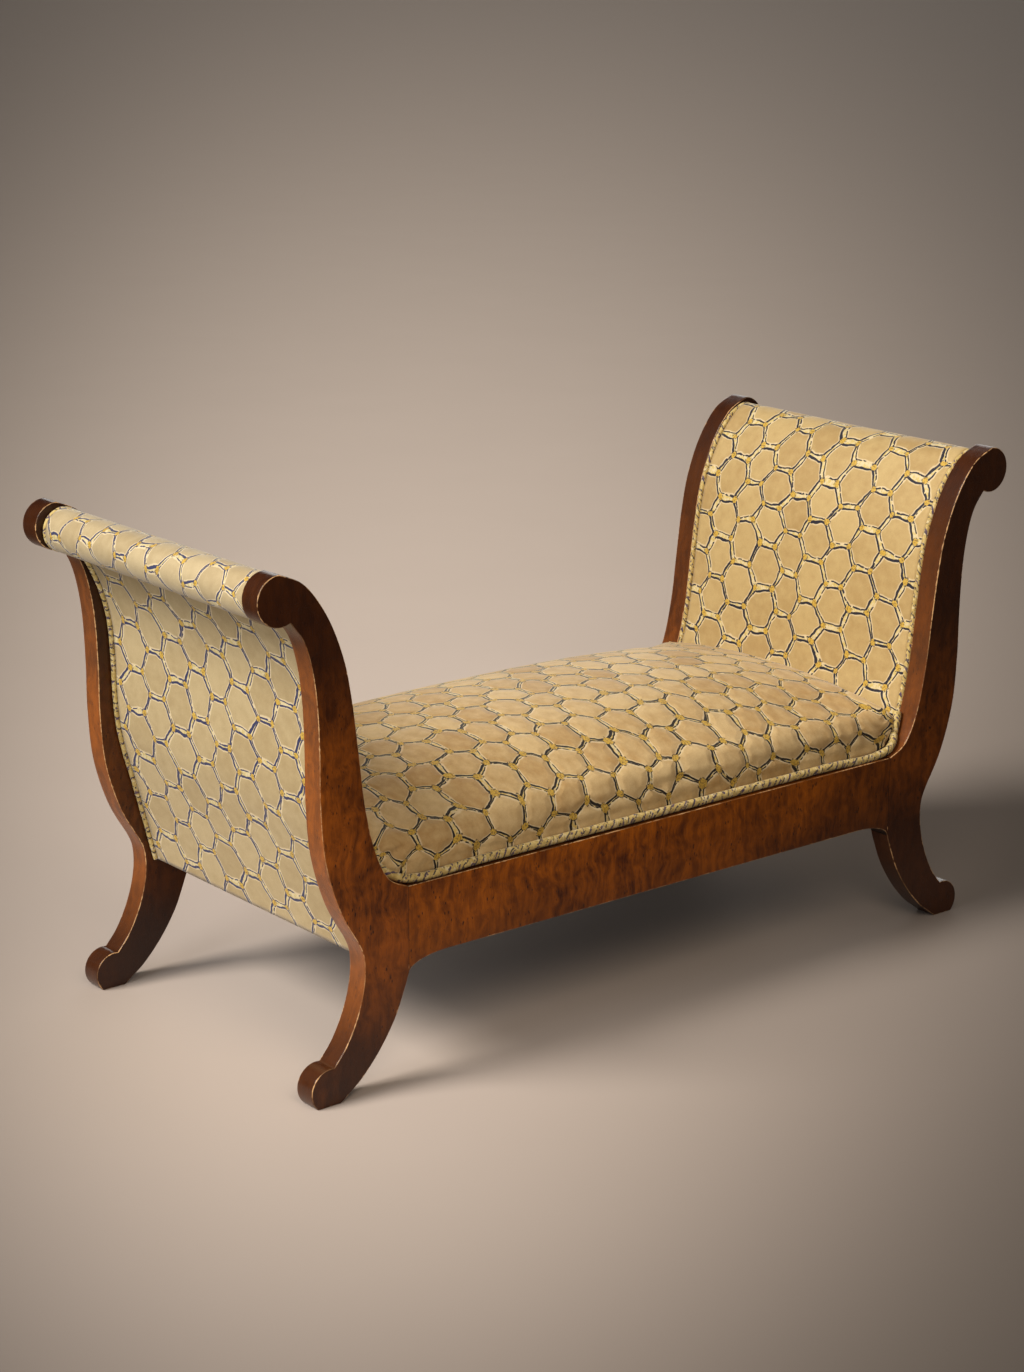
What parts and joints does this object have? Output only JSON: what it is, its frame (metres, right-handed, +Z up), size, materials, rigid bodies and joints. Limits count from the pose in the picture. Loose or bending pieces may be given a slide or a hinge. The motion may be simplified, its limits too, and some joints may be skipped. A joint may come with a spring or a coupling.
{
  "type": "recamier",
  "caption": "Backless upholstered daybed with outward-scrolled padded ends, sabre legs in one with the curved side boards, plain deep rails and a fixed domed seat edged with piping",
  "frame": {"origin": "on the floor under the middle of the seat", "axes": "+X runs along the seat towards the right-hand end, +Y from the front to the back, +Z up"},
  "size_m": [1.65, 0.69, 0.88],
  "materials": {
    "show_wood": "figured walnut veneer, french polished to a soft sheen, rubbed pale along the edges",
    "core_wood": "plain sawn softwood, unfinished",
    "dowel_wood": "turned beech, unfinished",
    "steel": "dull iron",
    "webbing": "woven jute webbing",
    "hessian": "coarse plain-woven hessian",
    "hair_stuffing": "curled hair",
    "patterned_cloth": "silky tan-gold furnishing cloth with an irregular honeycomb of cream and dark blue lines",
    "piping_cloth": "the same cloth sewn round a cord, yellow-gold with short dark dashes across it",
    "lining_cloth": "thin black lining"
  },
  "bodies": {
    "root": {"front_left_board": "show_wood", "front_right_board": "show_wood", "back_left_board": "show_wood", "back_right_board": "show_wood", "front_rail": "show_wood", "back_rail": "show_wood", "left_end_rail": "core_wood", "right_end_rail": "core_wood", "left_tack_rail": "core_wood", "right_tack_rail": "core_wood", "left_top_rail": "core_wood", "right_top_rail": "core_wood", "middle_stretcher": "core_wood", "front_left_corner_block": "core_wood", "front_right_corner_block": "core_wood", "back_left_corner_block": "core_wood", "back_right_corner_block": "core_wood", "front_left_batten": "core_wood", "front_right_batten": "core_wood", "back_left_batten": "core_wood", "back_right_batten": "core_wood", "rail_dowels": "dowel_wood", "end_rail_dowels": "dowel_wood", "tack_rail_dowels": "dowel_wood", "top_rail_dowels": "dowel_wood", "stretcher_dowels": "dowel_wood", "corner_block_screws": "steel", "batten_screws": "steel", "seat_cross_webbing": "webbing", "seat_long_webbing": "webbing", "webbing_tacks": "steel", "seat_hessian": "hessian", "seat_stuffing": "hair_stuffing", "seat_cushion": "patterned_cloth", "dust_cover": "lining_cloth", "dust_cover_tacks": "steel", "left_end_webbing": "webbing", "right_end_webbing": "webbing", "left_end_hessian": "hessian", "right_end_hessian": "hessian", "left_inner_pad": "patterned_cloth", "right_inner_pad": "patterned_cloth", "left_roll": "patterned_cloth", "right_roll": "patterned_cloth", "left_outer_panel": "patterned_cloth", "right_outer_panel": "patterned_cloth", "front_seat_piping": "piping_cloth", "back_seat_piping": "piping_cloth", "front_left_inner_piping": "piping_cloth", "front_right_inner_piping": "piping_cloth", "back_left_inner_piping": "piping_cloth", "back_right_inner_piping": "piping_cloth", "front_left_outer_piping": "piping_cloth", "front_right_outer_piping": "piping_cloth", "back_left_outer_piping": "piping_cloth", "back_right_outer_piping": "piping_cloth"}
  },
  "joints": []
}
